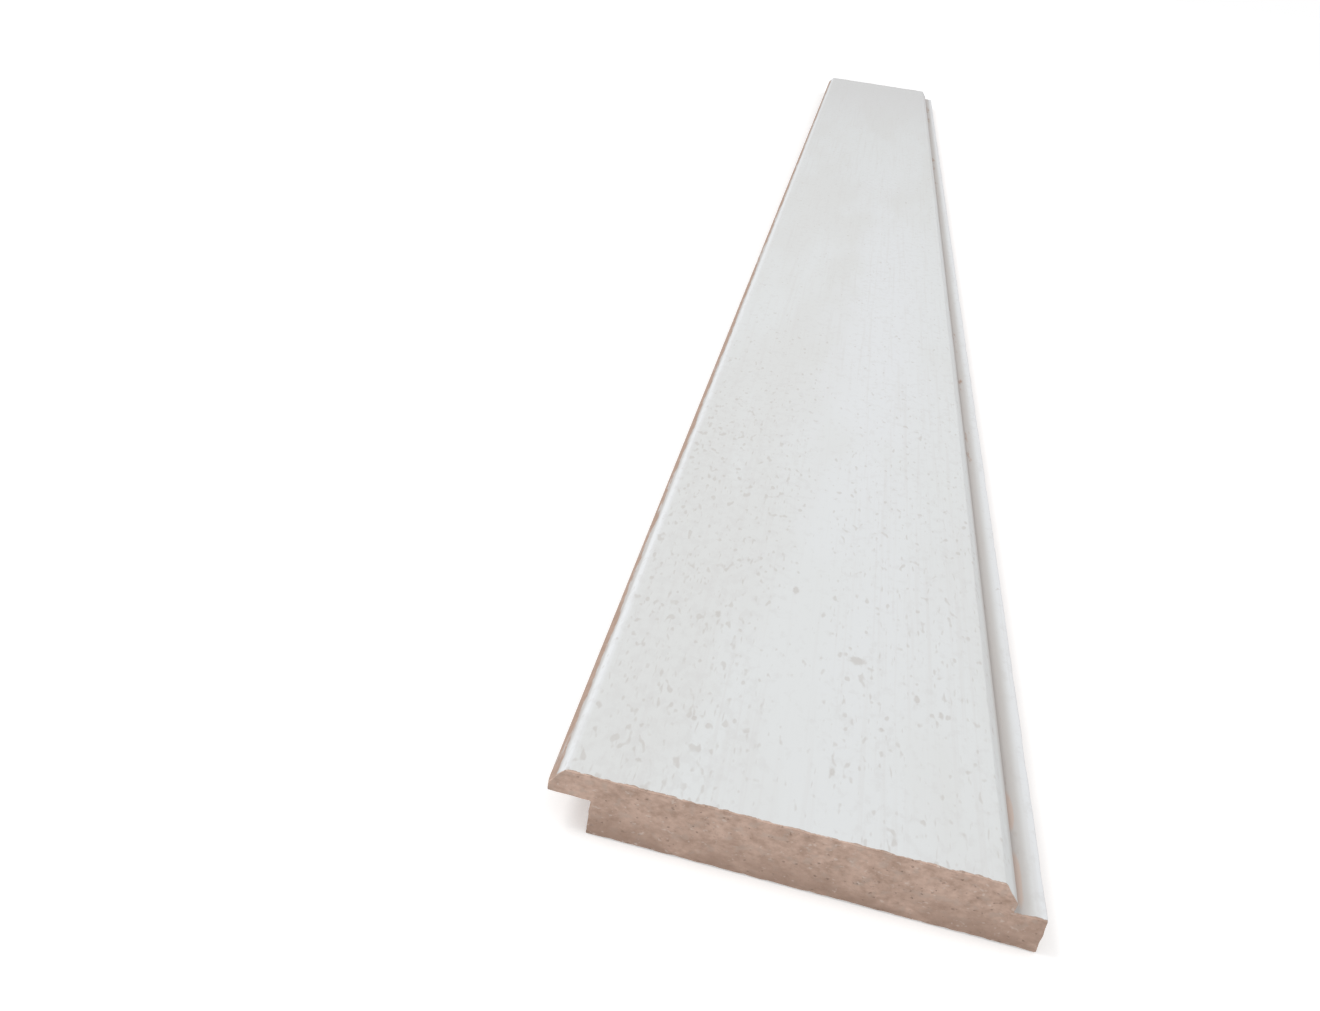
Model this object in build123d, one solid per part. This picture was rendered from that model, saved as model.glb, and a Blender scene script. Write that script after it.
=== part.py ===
from build123d import *
import os

# A painted fibreboard cladding board: one length of moulded stock with a halved (shiplap) joint
# along both long edges and a bevel along both face arrises, so that two laid boards meet in a V.
# Millimetres. X runs across the board, Y along its length, Z up from the back to the face.
# The origin is under the middle of the board, on its back.

# Whole board
board_length = 1200.0
board_width = 108.0  # over both lips
board_thickness = 16.0

# Bevels at the two face arrises
bevel_width = 3.5
bevel_depth = 4.5

# Halved joint
upper_lip_thickness = 6.8  # face down to the lap, on the edge that laps over the next board
lower_lip_width = 7.0  # the tongue that runs under the next board
lap_clearance = 0.2  # between an upper lip and the lower lip beneath it
heel_gap = 3.0  # between the end of a neighbour's lower lip and the rebate's wall

# Eased corners
face_arris_radius = 0.6
lip_arris_radius = 0.5
back_arris_radius = 0.5
cutter_tip_radius = 0.3  # what the moulding cutter leaves in an inner corner

# Places across the board; from lap edge to shoulder is what one laid board covers
lap_edge_x = -board_width / 2
tongue_end_x = board_width / 2
shoulder_x = tongue_end_x - lower_lip_width
rebate_wall_x = lap_edge_x + lower_lip_width + heel_gap

# Heights above the back
bevel_foot_z = board_thickness - bevel_depth
upper_lip_under_z = board_thickness - upper_lip_thickness
lower_lip_top_z = upper_lip_under_z - lap_clearance


def section_outline():
    """The board's section, anticlockwise from the back's left corner, each corner with its radius."""
    corners = [
        (rebate_wall_x, 0, back_arris_radius),
        (tongue_end_x, 0, back_arris_radius),
        (tongue_end_x, lower_lip_top_z, lip_arris_radius),
        (shoulder_x, lower_lip_top_z, cutter_tip_radius),
        (shoulder_x, bevel_foot_z, cutter_tip_radius),
        (shoulder_x - bevel_width, board_thickness, face_arris_radius),
        (lap_edge_x + bevel_width, board_thickness, face_arris_radius),
        (lap_edge_x, bevel_foot_z, cutter_tip_radius),
        (lap_edge_x, upper_lip_under_z, lip_arris_radius),
        (rebate_wall_x, upper_lip_under_z, cutter_tip_radius),
    ]
    points = [(x, z) for x, z, _ in corners]
    radii = [radius for _, _, radius in corners]
    return FilletPolyline(*points, radius=radii, close=True)


def make_board():
    """The section, carried along the whole length and sawn square at both ends."""
    section = make_face(Plane.XZ * section_outline())
    return extrude(section, amount=board_length / 2, both=True)


board = make_board()
board.label = "cladding_board"
os.makedirs("parts", exist_ok=True)
export_step(board, "parts/cladding_board.step")
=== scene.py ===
import math

import bpy
import numpy as np
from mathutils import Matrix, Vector


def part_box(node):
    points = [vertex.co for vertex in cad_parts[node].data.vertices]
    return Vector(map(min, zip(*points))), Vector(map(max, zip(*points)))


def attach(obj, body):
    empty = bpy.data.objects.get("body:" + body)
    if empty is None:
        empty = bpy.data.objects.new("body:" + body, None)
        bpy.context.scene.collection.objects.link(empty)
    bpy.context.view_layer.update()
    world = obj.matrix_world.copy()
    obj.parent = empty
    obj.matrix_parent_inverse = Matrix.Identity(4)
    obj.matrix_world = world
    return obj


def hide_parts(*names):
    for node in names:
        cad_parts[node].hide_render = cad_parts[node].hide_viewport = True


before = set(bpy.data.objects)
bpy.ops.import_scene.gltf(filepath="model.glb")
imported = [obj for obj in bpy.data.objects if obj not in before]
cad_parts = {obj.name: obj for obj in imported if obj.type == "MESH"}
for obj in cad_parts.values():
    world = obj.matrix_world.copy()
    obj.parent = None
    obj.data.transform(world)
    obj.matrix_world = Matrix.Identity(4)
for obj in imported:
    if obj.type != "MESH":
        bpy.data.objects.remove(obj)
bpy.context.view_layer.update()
print("frame loaded")


# The board's surface: its section carried along its length, with two sawn ends (metres)

boardShape = dict(
    bevelWidth=0.0035, bevelDepth=0.0045,    # of both face arrises
    upperLip=0.0068, lapClearance=0.0002,    # face down to the lap, and the gap left in it
    lowerLip=0.0070, rebate=0.0100,          # their widths
    faceArris=0.0006, lipArris=0.0005, backArris=0.0005,  # radii
    cutterTip=0.0003,                        # radius in the inner corners and at the bevels' feet
    halfArc=2,                               # pieces from a rounded corner's end to its middle
    faceColumns=72, bevelColumns=8, stepColumns=3, lipColumns=7, rebateColumns=5, wallColumns=10,
    nearRow=0.0011, widestRow=0.0042, rowGrowth=1.0060,  # spacing of the rows along the board
    lastGap=1.5,                             # rows stop where fewer spacings than this are left
    endRows=(0.0003, 0.0007),                # more rows, this far from each sawn end
    sharpAngle=40.0,                         # degrees, above which an edge is shaded sharp
)

boardWear = dict(
    seed=41, endSeed=46,                     # the far end takes the number below endSeed
    waveDepth=0.00005, waveSize=(0.014, 0.110),   # a moulded face is never quite flat
    knockDepth=0.00016, knockSize=(0.020, 0.0065), knockLevels=(0.45, 0.95),  # along the arrises
    chipDepth=0.00034, chipSize=(0.0018, 0.004), chipReach=0.0007,  # where the saw broke out
    chipPower=1.5,                           # more makes the chips fewer and sharper
    fuzzDepth=0.00016, fuzzSize=(0.0013, 0.0008),  # the sawn ends' torn fibre
)

# how bare each run of the section is where it starts and where it ends, 0 for full paint, and the
# shares of its length between which that changes
# low bareness greys the primer: thin paint and painted shade at the bevels' feet and the lip's root
bareRuns = dict(
    back=(1, 1, 0, 1), lipEnd=(1, 0.3, 0.86, 1), lipTop=(0, 0.33, 0.12, 0.78),
    shoulder=(0.62, 0.62, 0, 1), rightBevel=(0.28, 0, 0, 0.52), face=(0, 0, 0, 1),
    leftBevel=(0, 0.66, 0.15, 0.80), lapEdge=(0.66, 0.66, 0, 1), rebateTop=(1, 1, 0, 1),
    rebateWall=(1, 1, 0, 1),
)


def softNoise(u, v, seed):
    # random heights from 0 to 1 at whole numbers, joined both ways by the ease 3t^2 - 2t^3
    repeat = 256
    heights = np.random.default_rng(seed).random((repeat, repeat))
    column, row = np.floor(u).astype(int), np.floor(v).astype(int)
    across, along = u - column, v - row
    across, along = across ** 2 * (3 - 2 * across), along ** 2 * (3 - 2 * along)
    corner = [heights[(column + i) % repeat, (row + j) % repeat] for j in (0, 1) for i in (0, 1)]
    near = corner[0] * (1 - across) + corner[1] * across
    far = corner[2] * (1 - across) + corner[3] * across
    return near * (1 - along) + far * along


def easeStep(value, low, high):
    # 0 below low, 1 above high, and 3t^2 - 2t^3 between
    share = np.clip((value - low) / (high - low), 0, 1)
    return share ** 2 * (3 - 2 * share)


def lengthAlong(points):
    # how far each point of a line is from its start, with the straight pieces added up
    return np.r_[0, np.cumsum(np.linalg.norm(np.diff(points, axis=0), axis=1))]


def roundedCorner(before, corner, after, radius, halfArc):
    # an arc that touches both straights, about a centre on the corner's bisector
    towards = (before - corner) / np.linalg.norm(before - corner)
    away = (after - corner) / np.linalg.norm(after - corner)
    half = math.acos(towards @ away) / 2
    bisector = (towards + away) / np.linalg.norm(towards + away)
    centre = corner + bisector * radius / math.sin(half)
    first = corner + towards * radius / math.tan(half) - centre
    last = corner + away * radius / math.tan(half) - centre
    start = math.atan2(first[1], first[0])
    turn = (math.atan2(last[1], last[0]) - start + math.pi) % (2 * math.pi) - math.pi
    angle = start + turn * np.linspace(0, 1, 2 * halfArc + 1)
    return centre + radius * np.c_[np.cos(angle), np.sin(angle)]


def sectionRuns(shape, low, high):
    # the section anticlockwise as ten runs, each from the middle of one rounded corner to the next
    left, right, top = low[0], high[0], high[2]
    shoulder, wall = right - shape["lowerLip"], left + shape["rebate"]
    foot, lap = top - shape["bevelDepth"], top - shape["upperLip"]
    lip = lap - shape["lapClearance"]
    # as many as the seam across a sawn end and the lip's top have together
    backColumns = shape["faceColumns"] - shape["rebateColumns"] + shape["lipColumns"]
    plan = [  # name, corner that it starts at, that corner's radius, columns of its straight
        ("back", (wall, 0), shape["backArris"], backColumns),
        ("lipEnd", (right, 0), shape["backArris"], shape["wallColumns"]),
        ("lipTop", (right, lip), shape["lipArris"], shape["lipColumns"]),
        ("shoulder", (shoulder, lip), shape["cutterTip"], shape["stepColumns"]),
        ("rightBevel", (shoulder, foot), shape["cutterTip"], shape["bevelColumns"]),
        ("face", (shoulder - shape["bevelWidth"], top), shape["faceArris"], shape["faceColumns"]),
        ("leftBevel", (left + shape["bevelWidth"], top), shape["faceArris"], shape["bevelColumns"]),
        ("lapEdge", (left, foot), shape["cutterTip"], shape["stepColumns"]),
        ("rebateTop", (left, lap), shape["lipArris"], shape["rebateColumns"]),
        ("rebateWall", (wall, lap), shape["cutterTip"], shape["wallColumns"]),
    ]
    corners = np.array([corner for _, corner, _, _ in plan])
    before, after = np.roll(corners, 1, 0), np.roll(corners, -1, 0)
    half = shape["halfArc"]
    arcs = [roundedCorner(before[i], corners[i], after[i], plan[i][2], half) for i in range(len(plan))]
    runs = {}
    for i, (name, _, _, columns) in enumerate(plan):
        leaving, meeting = arcs[i][half:], arcs[(i + 1) % len(plan)][:half]
        share = np.linspace(0, 1, columns + 1)[1:-1, None]
        runs[name] = np.vstack([leaving, leaving[-1] * (1 - share) + meeting[0] * share, meeting])
    return runs


def rowPlaces(shape, near, far):
    # rows stand close at the near end and spread as they go away
    places, gap = [near], shape["nearRow"]
    while places[-1] + shape["lastGap"] * gap < far:
        places.append(places[-1] + gap)
        gap = min(gap * shape["rowGrowth"], shape["widestRow"])
    extra = np.array(shape["endRows"])
    return np.unique(np.r_[places, near + extra, far - extra, far])


def bareAround(runs):
    # how bare each point of the section is, eased along each run
    bare = []
    for name, run in runs.items():
        first, last, changeFrom, changeTo = bareRuns[name]
        share = lengthAlong(run) / lengthAlong(run)[-1]
        bare.append(first + (last - first) * easeStep(share, changeFrom, changeTo))
    return np.concatenate(bare)


def outwardOf(ring):
    # a quarter turn clockwise from the line between each point's two neighbours
    along = np.roll(ring, -1, 0) - np.roll(ring, 1, 0)
    return np.c_[along[:, 1], -along[:, 0]] / np.linalg.norm(along, axis=1)[:, None]


def arrisPoints(ring, starts, halfArc):
    # 1 on the outer corners that stand out enough to be knocked, 0 elsewhere and at the bevels' feet
    arris = np.zeros(len(ring))
    for name in ("back", "lipEnd", "lipTop", "face", "leftBevel", "rebateTop"):
        arris[(starts[name] + np.arange(-halfArc, halfArc + 1)) % len(ring)] = 1
    return arris


def wornDepth(wear, around, arris, y, toEnd):
    # each point sinks in by a slow wave, by knocks along the arrises, and by break-out that dies away
    # exponentially from the sawn ends
    waveAround, waveAlong = wear["waveSize"]
    knockAround, knockAlong = wear["knockSize"]
    chipAround, chipAlong = wear["chipSize"]
    wave = softNoise(around / waveAround, y / waveAlong, wear["seed"])
    knocks = softNoise(around / knockAround, y / knockAlong, wear["seed"] + 1)
    knocks = easeStep(knocks, *wear["knockLevels"])
    chips = softNoise(around / chipAround, y / chipAlong, wear["seed"] + 2) ** wear["chipPower"]
    return (wear["waveDepth"] * wave + wear["knockDepth"] * arris * knocks
            + wear["chipDepth"] * chips * np.exp(-toEnd / wear["chipReach"]))


def patchBetween(bottom, top, left, right):
    # a grid between four edges: both straight blends of opposite edges, less the blend of corners
    u = np.linspace(0, 1, len(bottom))[None, :, None]
    v = np.linspace(0, 1, len(left))[:, None, None]
    corners = (bottom[0] * (1 - u) + bottom[-1] * u) * (1 - v) + (top[0] * (1 - u) + top[-1] * u) * v
    return (left[:, None] * (1 - u) + right[:, None] * u) + (bottom * (1 - v) + top * v) - corners


def gridQuads(numbers):
    # the four corners of each cell of a grid of vertex numbers
    cells = [numbers[:-1, :-1], numbers[:-1, 1:], numbers[1:, 1:], numbers[1:, :-1]]
    return np.stack(cells, -1).reshape(-1, 4)


def sawnEnd(ring, starts, seamPieces):
    # fills the section with two patches that meet on a seam from the rebate's corner to the shoulder's;
    # the ring's points keep their numbers, and the new points follow them
    def span(name, upTo):
        last = starts[upTo] or len(ring)
        return np.arange(starts[name], last + 1) % len(ring)

    share = np.linspace(0, 1, seamPieces + 1)[1:-1, None]
    points = np.vstack([ring, ring[starts["rebateWall"]] * (1 - share) + ring[starts["shoulder"]] * share])
    seam = np.r_[starts["rebateWall"], np.arange(len(ring), len(points)), starts["shoulder"]]
    patches = [
        (span("back", "lipEnd"), np.r_[seam, span("lipTop", "shoulder")[-2::-1]],
         span("rebateWall", "back")[::-1], span("lipEnd", "lipTop")),
        (np.r_[span("rebateTop", "rebateWall"), seam[1:]], span("face", "leftBevel")[::-1],
         span("leftBevel", "rebateTop")[::-1], span("shoulder", "face")),
    ]
    quads = []
    for edges in patches:
        bottom, top, left, right = edges
        patch = patchBetween(*(points[edge] for edge in edges))
        numbers = np.empty(patch.shape[:2], int)
        numbers[0], numbers[-1], numbers[:, 0], numbers[:, -1] = bottom, top, left, right
        inner = patch[1:-1, 1:-1]
        numbers[1:-1, 1:-1] = len(points) + np.arange(inner[..., 0].size).reshape(inner.shape[:2])
        points = np.vstack([points, inner.reshape(-1, 2)])
        quads.append(gridQuads(numbers))
    return points, np.vstack(quads)


def boardSurface(shape, wear, low, high):
    # every row is the section, each point moved in along its normal: point = ring - outward * depth;
    # a sawn end closes the first row and the last, its inner points pushed in by torn fibre
    runs = sectionRuns(shape, low, high)
    ring = np.vstack(list(runs.values()))
    starts = dict(zip(runs, np.cumsum([0] + [len(run) for run in runs.values()])))
    y = rowPlaces(shape, low[1], high[1])[:, None]
    toEnd = np.minimum(y - low[1], high[1] - y)
    arris = arrisPoints(ring, starts, shape["halfArc"])
    depth = wornDepth(wear, lengthAlong(ring), arris, y, toEnd)
    section = ring - outwardOf(ring) * depth[..., None]
    sides = np.stack([section[..., 0], y + 0 * section[..., 0], section[..., 1]], -1)
    numbers = np.arange(sides[..., 0].size).reshape(sides.shape[:2])
    vertices, bare = [sides.reshape(-1, 3)], [np.tile(bareAround(runs), len(y))]
    quads = [gridQuads(np.c_[numbers, numbers[:, :1]])[:, ::-1]]
    used = numbers.size
    for row, inward in ((0, 1), (-1, -1)):
        points, cells = sawnEnd(section[row], starts, shape["faceColumns"] - shape["rebateColumns"])
        fresh = points[len(ring):]
        fuzz = softNoise(*(fresh / wear["fuzzSize"]).T, wear["endSeed"] + row)
        place = y[row] + inward * wear["fuzzDepth"] * fuzz
        vertices.append(np.c_[fresh[:, 0], place, fresh[:, 1]])
        bare.append(np.ones(len(fresh)))
        cells = np.r_[numbers[row], used + np.arange(len(fresh))][cells]
        quads.append(cells if row == 0 else cells[:, ::-1])
        used += len(fresh)
    return np.vstack(vertices), np.vstack(quads), np.concatenate(bare)


def meshPiece(name, vertices, quads, sharpAngle):
    # a smooth shaded piece in the scene, sharp where two faces turn by more than the angle
    mesh = bpy.data.meshes.new(name)
    mesh.from_pydata(vertices.tolist(), [], quads.tolist())
    mesh.shade_smooth()
    mesh.set_sharp_from_angle(angle=sharpAngle)
    piece = bpy.data.objects.new(name, mesh)
    bpy.context.scene.collection.objects.link(piece)
    return piece


boardLow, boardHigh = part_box("cladding_board")
boardVertices, boardQuads, boardBare = boardSurface(boardShape, boardWear, boardLow, boardHigh)
board = meshPiece("claddingBoard", boardVertices, boardQuads, math.radians(boardShape["sharpAngle"]))
bareness = board.data.attributes.new("bareness", "FLOAT", "POINT")
bareness.data.foreach_set("value", boardBare)
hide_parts("cladding_board")
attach(board, "root")
print("board surface:", len(boardQuads) * 2, "triangles")


# Shader maths: Python arithmetic on a wire adds the nodes that work it out

perMetre = 1000.0                            # the finish is laid out in millimetres

class Wire:
    def __init__(self, shader, socket):
        self.shader, self.socket = shader, socket

    def math(self, operation, *values):
        return self.shader.node("ShaderNodeMath", dict(operation=operation), dict(enumerate(values)))

    def __add__(self, other):
        return self.math("ADD", self, other)

    def __sub__(self, other):
        return self.math("SUBTRACT", self, other)

    def __mul__(self, other):
        return self.math("MULTIPLY", self, other)

    def __truediv__(self, other):
        return self.math("DIVIDE", self, other)

    def __pow__(self, other):
        return self.math("POWER", self, other)

    def __radd__(self, other):
        return self.math("ADD", other, self)

    def __rsub__(self, other):
        return self.math("SUBTRACT", other, self)

    def __rmul__(self, other):
        return self.math("MULTIPLY", other, self)

    def __abs__(self):
        return self.math("ABSOLUTE", self)

    def greater(self, other):
        return self.math("MAXIMUM", self, other)

    def step(self, low, high):
        # 0 below low, 1 above high, eased between, or the other way round where low is the larger
        return self.shader.node("ShaderNodeMapRange", dict(interpolation_type="SMOOTHSTEP"),
                                {0: self, 1: low, 2: high, 3: 0.0, 4: 1.0})

    def bell(self, middle, width):
        # 1 at the middle, falling away on both sides as a bell curve
        away = (self - middle) / width
        return self.math("EXPONENT", away * away * -1.0)


class Shader:
    def __init__(self, tree):
        self.tree = tree
        tree.nodes.clear()

    def node(self, kind, settings, values, out=0):
        made = self.tree.nodes.new(kind)
        for setting, value in settings.items():
            setattr(made, setting, value)
        for key, value in values.items():
            if isinstance(value, Wire):
                self.tree.links.new(value.socket, made.inputs[key])
            else:
                made.inputs[key].default_value = value
        return Wire(self, made.outputs[out]) if made.outputs else None

    def place(self):
        # where the surface is, in millimetres, and its three parts
        metres = self.node("ShaderNodeTexCoord", {}, {}, "Object")
        whole = self.node("ShaderNodeVectorMath", dict(operation="SCALE"), {0: metres, "Scale": perMetre})
        return whole, *(self.node("ShaderNodeSeparateXYZ", {}, {0: whole}, part) for part in "XYZ")

    def noise(self, where, size, detail=2.0, roughness=0.5, levels=None, push=None):
        # soft noise from 0 to 1, drawn this many millimetres large across, along and up the board; with
        # levels it turns from 0 to 1 between them, after a push up or down
        drawn = self.node("ShaderNodeMapping", {}, {"Vector": where, "Scale": [1 / side for side in size]})
        soft = self.node("ShaderNodeTexNoise", {}, {
            "Vector": drawn, "Scale": 1.0, "Detail": detail, "Roughness": roughness})
        if levels is None:
            return soft
        return (soft if push is None else soft + push).step(*levels)

    def rings(self, distance, size):
        # noise that changes with one distance alone
        return self.node("ShaderNodeTexNoise", dict(noise_dimensions="1D"), {
            "W": distance / size, "Scale": 1.0, "Detail": 2.0, "Roughness": 0.5})

    def mix(self, share, one, other):
        return self.node("ShaderNodeMix", dict(data_type="RGBA"), {0: share, 6: one, 7: other}, 2)


def newMaterial(name):
    material = bpy.data.materials.new(name)
    material.use_nodes = True
    return material, Shader(material.node_tree)


def screenColour(red, green, blue):
    # a colour as the screen shows it, 0 to 255, turned by the sRGB curve into the linear colour that a
    # shader takes
    def linear(value):
        value /= 255
        return value / 12.92 if value <= 0.04045 else ((value + 0.055) / 1.055) ** 2.4

    return linear(red), linear(green), linear(blue), 1.0


# The finish: white primer on fibreboard, with painted sheen, highlight and shade in places, thin where it
# is rubbed and bare where the board is sawn or machined. Places and sizes are in millimetres across,
# along and up the board. A share says how strongly a tone shows, and levels are the noise, or the
# bareness, at which it starts and is full

primer = dict(
    plain=screenColour(223, 225, 225), grey=screenColour(220, 221, 220),
    # a painted sheen: a lighter, bluish patch on the face, about this place and this far
    paintedSheen=screenColour(226, 228, 230), sheenShare=0.9, sheenPlace=(13, -230), sheenReach=(26, 330),
    edge=screenColour(231, 233, 235),        # painted highlight, lighter than the face, on the left bevel and the lip's outer part
    # painted shade: the face greyer towards its far end
    distantShade=screenColour(217, 217, 217), distantShadeShare=0.85,
    line=screenColour(215, 214, 213), lineShare=0.36, laneClear=0.6,
    blotch=screenColour(210, 209, 208), blotchShare=0.32,
    speck=screenColour(196, 191, 186), speckShare=0.50, speckRoughness=0.1,
    mark=screenColour(198, 194, 190), markShare=0.70, markLevels=(0.20, 0.85),
    markNoise=1.8, markFloor=0.1,            # how far noise breaks up a mark, and what it leaves
    thinPaintAndShade=screenColour(190, 185, 181), thinAndShadeShare=0.82, thinAndShadeLevels=(0.0, 0.36),  # thin primer before it stops, with painted shade at the bevels' feet and the lip's root
    rubbed=screenColour(202, 184, 173), rubbedShare=0.90, rubbedLevels=(0.30, 0.60),
    rubbedRagged=0.6, rubbedBelow=(11.6, 11.0),  # heights: only under the bevel
    roughness=0.58, glassiness=1.45,         # its index of refraction
)

# parts of the board where the primer differs: where each starts and where it is full
zones = dict(
    nearFront=(-250, -430), pastFront=(-450, -200), distantShade=(210, 560), farEnd=(430, 570),  # along
    leftThird=(4, -30), rightThird=(-4, 26), leftEdge=(-49.0, -50.8), rightEdge=(49.8, 53.2),  # across
    outerEdge=(48.5, 50.5),                  # either side, from the middle
)
smoothLane = (-3.0, 6.0)                     # middle and width of a lane with fewer specks

# what each zone adds to the noise there, so that more of it comes over its levels
blotchCrowd = dict(leftThird=0.06, smoothLane=-0.05, blotchClouds=0.12, farEnd=0.03)
speckCrowd = dict(speckClouds=0.10, leftThird=0.04, smoothLane=-0.06, outerEdge=-0.08, pastFront=-0.06)
dashCrowd = dict(rightThird=0.02)

# marks that stand out: place across and along the board, width and length
faceMarks = [
    (10.6, -529.4, 2.6, 2.2), (-7.5, -500.1, 1.0, 2.4), (-27.0, -522.2, 0.9, 2.0),
    (-35.8, -590.5, 0.9, 0.9), (-26.3, -570.4, 0.7, 1.2), (25.8, -540.8, 0.8, 2.2),
    (31.6, -545.3, 0.7, 1.8), (17.2, -557.1, 0.8, 1.0), (6.5, -577.4, 0.8, 1.8),
]

# rubbed stretches at the root of the lower lip, in the same order
rubbedPlaces = [(48.2, -589.0, 1.3, 9.5), (48.2, -566.5, 1.2, 7.5)]

fibre = dict(
    light=screenColour(213, 185, 169), dark=screenColour(172, 145, 129), toneLevels=(0.27, 0.70),
    grey=screenColour(190, 172, 160), greyShare=0.5,
    moulded=screenColour(168, 143, 128), mouldedShare=0.65,  # darker where a cutter has burnished it, and partly painted shade at the bevels' bare feet
    low=screenColour(167, 141, 126), lowShadeShare=0.92, lowShadeBelow=(-2.0, 11.5),  # painted shade low on a sawn end; heights
    pale=screenColour(219, 206, 197), paleShare=0.45,
    pit=screenColour(150, 127, 112), pitShare=0.25, sawnPitShare=0.3,  # the second adds to the first
    sawCentre=(70.0, -150.0), sawPitch=0.9,  # the saw's marks are arcs about this place
    roughness=0.86,
)

bareEdges = dict(
    raggedShare=0.8, patchShare=0.9,         # its ragged outline, and patches along the board
    bareLevels=(0.42, 0.58), sawnDepth=(0.6, 0.3),  # how near an end its face counts as sawn
    tornShare=1.5, tornLevel=0.35, tornReach=0.25, tornFade=0.12,  # how far the saw tore the primer
)

# heights in millimetres
relief = dict(
    peel=0.02, grain=0.012,                  # roller texture, and moulding lines under the primer
    speckPit=0.03, coat=0.06,                # how deep a speck lies, and how thick the primer is
    strand=0.05, sawnStrand=0.10, pit=0.04, sawnPit=0.12,  # the sawn ones add to the others
    sawMark=0.06,
)

# the noise behind each tone or relief: its size, its detail and roughness where they aren't the usual
# ones, and its levels
patterns = dict(
    tone=dict(size=(30, 150, 30), detail=3.0, levels=(0.40, 0.60)),
    paintedSheen=dict(size=(26, 90, 26), levels=(0.36, 0.58)),
    lines=dict(size=(1.5, 80, 1.5), roughness=0.6, levels=(0.50, 0.72)),
    blotchClouds=dict(size=(24, 60, 24)),
    blotches=dict(size=(2.6, 4.2, 2.6), detail=3.0, roughness=0.62, levels=(0.50, 0.70)),
    speckClouds=dict(size=(18, 45, 18)),
    grit=dict(size=(1.4, 3.2, 1.4), detail=0.3, levels=(0.665, 0.810)),
    dashes=dict(size=(1.0, 6.0, 1.0), detail=1.0, levels=(0.66, 0.82)),
    brokenMark=dict(size=(0.9, 1.3, 0.9), roughness=0.6),
    clumps=dict(size=(3.6, 3.6, 2.8), roughness=0.55),
    strands=dict(size=(1.6, 1.6, 1.2), detail=4.0, roughness=0.6),
    grey=dict(size=(3.0, 3.0, 2.2), levels=(0.52, 0.68)),
    low=dict(size=(12, 12, 6), detail=3.0, roughness=0.6, levels=(0.30, 0.56)),
    pale=dict(size=(1.3, 1.3, 0.9), detail=1.0, levels=(0.66, 0.76)),
    pits=dict(size=(1.2, 1.2, 0.9), detail=1.0, levels=(0.34, 0.24)),
    torn=dict(size=(2.4, 2.4, 2.4), detail=3.0, roughness=0.6),
    ragged=dict(size=(1.1, 9.0, 1.1), detail=3.0, roughness=0.65),
    patches=dict(size=(9.0, 34.0, 9.0)),
    peel=dict(size=(1.3, 1.8, 1.3)),
    grain=dict(size=(0.5, 14, 0.5)),
)


def crowding(amounts, zone):
    # each zone's amount times how far a place is in that zone, added up
    return sum(amount * zone[name] for name, amount in amounts.items())


def primerColour(shader, where, x, y):
    # a soft tone with a painted sheen, a painted highlight at the edges and painted shade far off, and
    # over it lines, blotches, specks and marks that crowd or thin out by place
    nearFront = y.step(*zones["nearFront"])
    zone = dict(
        farEnd=y.step(*zones["farEnd"]), pastFront=y.step(*zones["pastFront"]),
        leftThird=x.step(*zones["leftThird"]) * nearFront, rightThird=x.step(*zones["rightThird"]),
        outerEdge=abs(x).step(*zones["outerEdge"]), smoothLane=x.bell(*smoothLane) * nearFront,
        blotchClouds=shader.noise(where, **patterns["blotchClouds"]) - 0.5,
        speckClouds=shader.noise(where, **patterns["speckClouds"]) - 0.5,
    )
    colour = shader.mix(shader.noise(where, **patterns["tone"]), primer["grey"], primer["plain"])
    # painted sheen: a lighter, bluish patch, broken by noise
    (sheenX, sheenY), (sheenWidth, sheenLength) = primer["sheenPlace"], primer["sheenReach"]
    paintedSheen = x.bell(sheenX, sheenWidth) * y.bell(sheenY, sheenLength) * shader.noise(where, **patterns["paintedSheen"])
    colour = shader.mix(paintedSheen * primer["sheenShare"], colour, primer["paintedSheen"])
    # painted shade, greying the face towards its far end
    colour = shader.mix(y.step(*zones["distantShade"]) * primer["distantShadeShare"], colour, primer["distantShade"])
    # painted highlight: the left bevel and the lip's outer part lighter than the face
    edge = x.step(*zones["leftEdge"]).greater(x.step(*zones["rightEdge"]))
    colour = shader.mix(edge, colour, primer["edge"])
    lines = shader.noise(where, **patterns["lines"]) * primer["lineShare"]
    colour = shader.mix(lines * (1 - zone["smoothLane"] * primer["laneClear"]), colour, primer["line"])
    blotches = shader.noise(where, **patterns["blotches"], push=crowding(blotchCrowd, zone))
    colour = shader.mix(blotches * primer["blotchShare"], colour, primer["blotch"])
    crowd = crowding(speckCrowd, zone)
    grit = shader.noise(where, **patterns["grit"], push=crowd)
    dashes = shader.noise(where, **patterns["dashes"], push=crowd + crowding(dashCrowd, zone))
    specks = grit.greater(dashes)
    colour = shader.mix(specks * primer["speckShare"], colour, primer["speck"])
    broken = shader.noise(where, **patterns["brokenMark"]) * primer["markNoise"] + primer["markFloor"]
    for markX, markY, width, length in faceMarks:
        mark = (x.bell(markX, width) * y.bell(markY, length) * broken).step(*primer["markLevels"])
        colour = shader.mix(mark * primer["markShare"], colour, primer["mark"])
    return colour, specks


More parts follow.
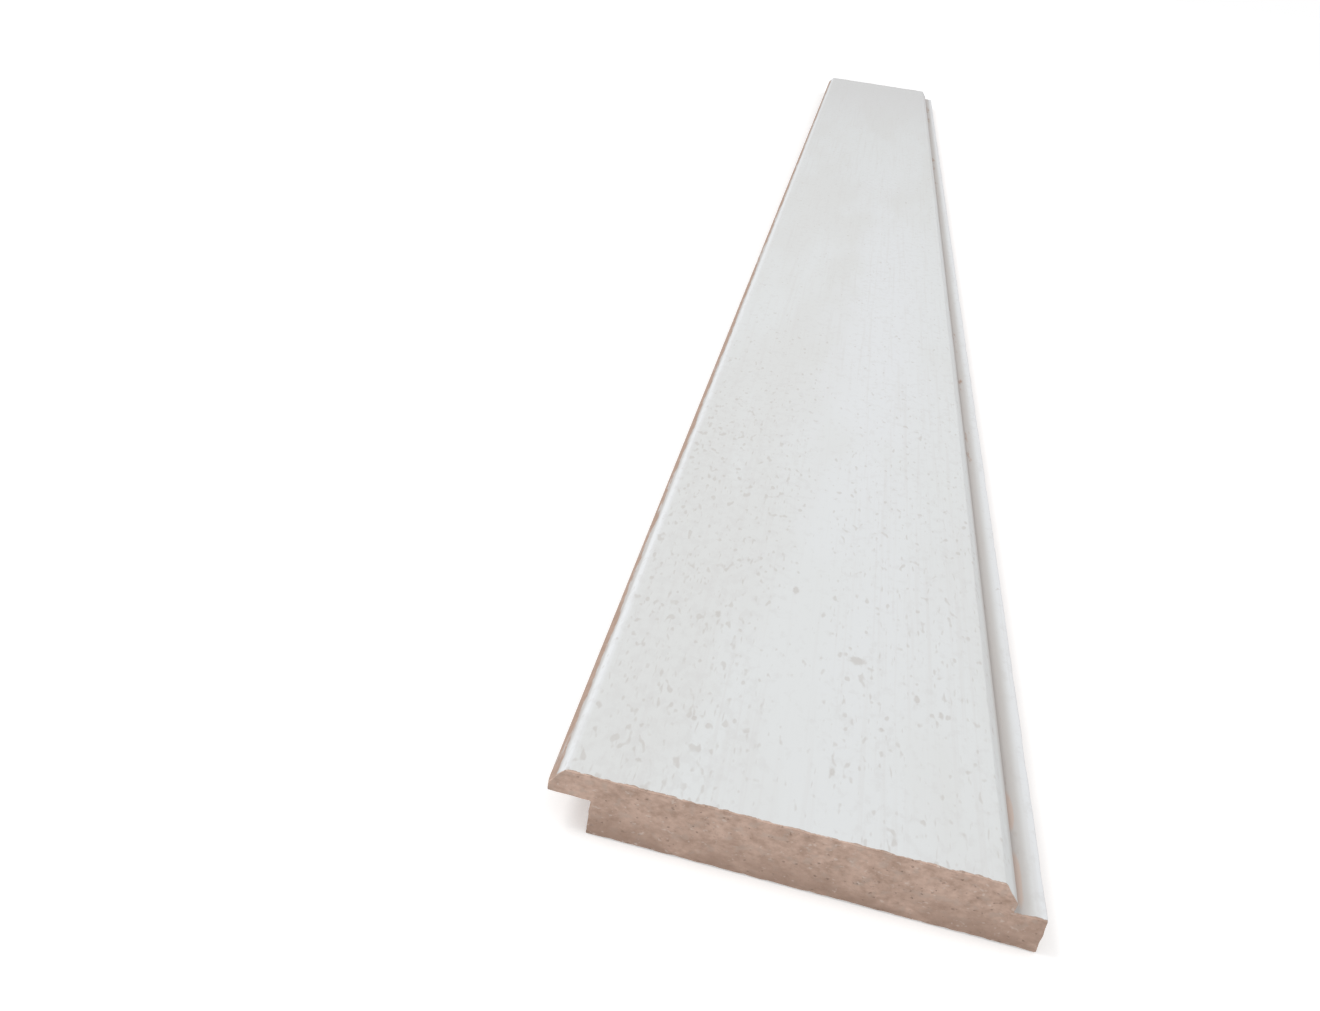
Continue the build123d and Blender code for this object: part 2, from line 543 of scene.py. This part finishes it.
def fibreColour(shader, where, x, z, sawn):
    # soft clumps and strands between dark and light, with painted shade low on a sawn end and, in part, on
    # the machined faces, and pale chips and pits
    strands = shader.noise(where, **patterns["strands"])
    tone = ((shader.noise(where, **patterns["clumps"]) + strands) / 2).step(*fibre["toneLevels"])
    colour = shader.mix(tone, fibre["dark"], fibre["light"])
    grey = shader.noise(where, **patterns["grey"])
    colour = shader.mix(grey * fibre["greyShare"], colour, fibre["grey"])
    # painted shade: a sawn end darker towards its bottom, in soft patches
    low = (1 - z.step(*fibre["lowShadeBelow"])) * shader.noise(where, **patterns["low"]) * sawn
    colour = shader.mix(low * fibre["lowShadeShare"], colour, fibre["low"])
    # machined faces darker, partly as painted shade for the bevels' bare feet
    colour = shader.mix((1 - sawn) * fibre["mouldedShare"], colour, fibre["moulded"])
    pale = shader.noise(where, **patterns["pale"])
    colour = shader.mix(pale * fibre["paleShare"], colour, fibre["pale"])
    pits = shader.noise(where, **patterns["pits"])
    colour = shader.mix(pits * (fibre["pitShare"] + fibre["sawnPitShare"] * sawn), colour, fibre["pit"])
    # strands and pits everywhere, and on the ends the saw's marks, by distance from the blade's centre
    bladeX, bladeZ = fibre["sawCentre"]
    fromBlade = ((x - bladeX) ** 2 + (z - bladeZ) ** 2) ** 0.5
    marks = shader.rings(fromBlade, fibre["sawPitch"]) * sawn
    height = (strands * (relief["strand"] + relief["sawnStrand"] * sawn)
              - pits * (relief["pit"] + relief["sawnPit"] * sawn) + marks * relief["sawMark"])
    return colour, height


def boardFinish():
    material, shader = newMaterial("primedFibreboard")
    where, x, y, z = shader.place()
    fromEnd = boardHigh[1] * perMetre - abs(y)
    paintColour, specks = primerColour(shader, where, x, y)
    rawColour, rawHeight = fibreColour(shader, where, x, z, fromEnd.step(*bareEdges["sawnDepth"]))
    # bare where the outline says so, in ragged patches, and within a torn hair's breadth of each end
    bareness = shader.node("ShaderNodeAttribute", dict(attribute_name="bareness"), {}, "Fac")
    ragged = bareEdges["raggedShare"] * (shader.noise(where, **patterns["ragged"]) - 0.5)
    patches = bareEdges["patchShare"] * (shader.noise(where, **patterns["patches"]) - 0.5)
    torn = bareEdges["tornShare"] * (shader.noise(where, **patterns["torn"]) - bareEdges["tornLevel"])
    tornOff = bareEdges["tornReach"] + torn - fromEnd
    bare = (bareness + ragged + patches).step(*bareEdges["bareLevels"])
    bare = bare.greater(tornOff.step(-bareEdges["tornFade"], bareEdges["tornFade"]))
    # thin primer and painted shade: grey where the bareness starts, at the bevels' feet and the lip's root
    thinPaintAndShade = bareness.step(*primer["thinAndShadeLevels"]) * primer["thinAndShadeShare"]
    paintColour = shader.mix(thinPaintAndShade, paintColour, primer["thinPaintAndShade"])
    belowBevel = z.step(*primer["rubbedBelow"])
    for rubX, rubY, width, length in rubbedPlaces:
        rubbed = x.bell(rubX, width) * y.bell(rubY, length) + ragged * primer["rubbedRagged"]
        rubbed = rubbed.step(*primer["rubbedLevels"]) * belowBevel
        paintColour = shader.mix(rubbed * primer["rubbedShare"], paintColour, primer["rubbed"])
    colour = shader.mix(bare, paintColour, rawColour)
    # both sums run straight from the primer's value to the board's: primer * (1 - bare) + board * bare
    roughness = primer["roughness"] + (fibre["roughness"] - primer["roughness"]) * bare
    roughness = roughness + specks * primer["speckRoughness"]
    peel = shader.noise(where, **patterns["peel"]) * relief["peel"]
    grain = shader.noise(where, **patterns["grain"]) * relief["grain"]
    paintHeight = peel + grain - specks * relief["speckPit"] + relief["coat"]
    height = paintHeight * (1 - bare) + rawHeight * bare
    normal = shader.node("ShaderNodeBump", {}, {
        "Height": height, "Strength": 1.0, "Distance": 1 / perMetre})
    surface = shader.node("ShaderNodeBsdfPrincipled", {}, {
        "Base Color": colour, "Roughness": roughness, "IOR": primer["glassiness"], "Normal": normal})
    shader.node("ShaderNodeOutputMaterial", {}, {"Surface": surface})
    return material


board.data.materials.append(boardFinish())
print("finish on the board")


# Floor, light and camera

studio = dict(
    floorSize=8.0, floorDrop=0.0002, floorColour=(0.86, 0.86, 0.86, 1.0), floorGlow=0.34,
    sky=0.79, keyPower=5.2, keySize=0.5, keyPlace=(-0.75, -0.55, 1.25), keyAim=(0.0, -0.35, 0.0),
)

camera = dict(
    place=(-0.02103, -0.80395, 0.18810), turn=(60.599, -6.445, 14.493),  # metres, degrees
    lens=33.04, sensor=36.0, shift=(0.08262, 0.02400), nearest=0.01,
)

white = (1.0, 1.0, 1.0, 1.0)


def whiteForCamera(shader):
    # 1 for what the camera sees, straight or through gloss or glass, and 0 for light on the object
    straight, gloss, glass = (shader.node("ShaderNodeLightPath", {}, {}, f"Is {ray} Ray")
                              for ray in ("Camera", "Glossy", "Transmission"))
    return straight.greater(gloss).greater(glass)


def layFloor(settings):
    half = settings["floorSize"] / 2
    corners = [(-half, -half), (half, -half), (half, half), (-half, half)]
    mesh = bpy.data.meshes.new("studioFloor")
    mesh.from_pydata([(x, y, -settings["floorDrop"]) for x, y in corners], [], [(0, 1, 2, 3)])
    floor = bpy.data.objects.new("studioFloor", mesh)
    bpy.context.scene.collection.objects.link(floor)
    material, shader = newMaterial("paleFloor")
    matt = shader.node("ShaderNodeBsdfDiffuse", {}, {"Color": settings["floorColour"]})
    strength = whiteForCamera(shader) * settings["floorGlow"]
    glow = shader.node("ShaderNodeEmission", {}, {"Color": white, "Strength": strength})
    both = shader.node("ShaderNodeAddShader", {}, {0: matt, 1: glow})
    shader.node("ShaderNodeOutputMaterial", {}, {"Surface": both})
    mesh.materials.append(material)


def lightStudio(settings):
    world = bpy.data.worlds.new("studioSky")
    bpy.context.scene.world = world
    world.use_nodes = True
    shader = Shader(world.node_tree)
    # full white to the camera, and a plain level on the board
    level = settings["sky"] + (1 - settings["sky"]) * whiteForCamera(shader)
    sky = shader.node("ShaderNodeBackground", {}, {"Color": white, "Strength": level})
    shader.node("ShaderNodeOutputWorld", {}, {"Surface": sky})
    lamp = bpy.data.lights.new("key", "AREA")
    lamp.shape, lamp.size, lamp.energy = "DISK", settings["keySize"], settings["keyPower"]
    key = bpy.data.objects.new("key", lamp)
    key.location = settings["keyPlace"]
    aim = Vector(settings["keyAim"]) - Vector(settings["keyPlace"])
    key.rotation_euler = aim.to_track_quat("-Z", "Y").to_euler()
    bpy.context.scene.collection.objects.link(key)


def setCamera(settings):
    lens = bpy.data.cameras.new("photoView")
    lens.sensor_fit, lens.sensor_width, lens.lens = "HORIZONTAL", settings["sensor"], settings["lens"]
    lens.shift_x, lens.shift_y = settings["shift"]
    lens.clip_start = settings["nearest"]
    view = bpy.data.objects.new("photoView", lens)
    view.location = settings["place"]
    view.rotation_euler = [math.radians(angle) for angle in settings["turn"]]
    bpy.context.scene.collection.objects.link(view)
    bpy.context.scene.camera = view


layFloor(studio)
lightStudio(studio)
setCamera(camera)
bpy.context.scene.view_settings.view_transform = "Standard"
print("floor, light and camera set")
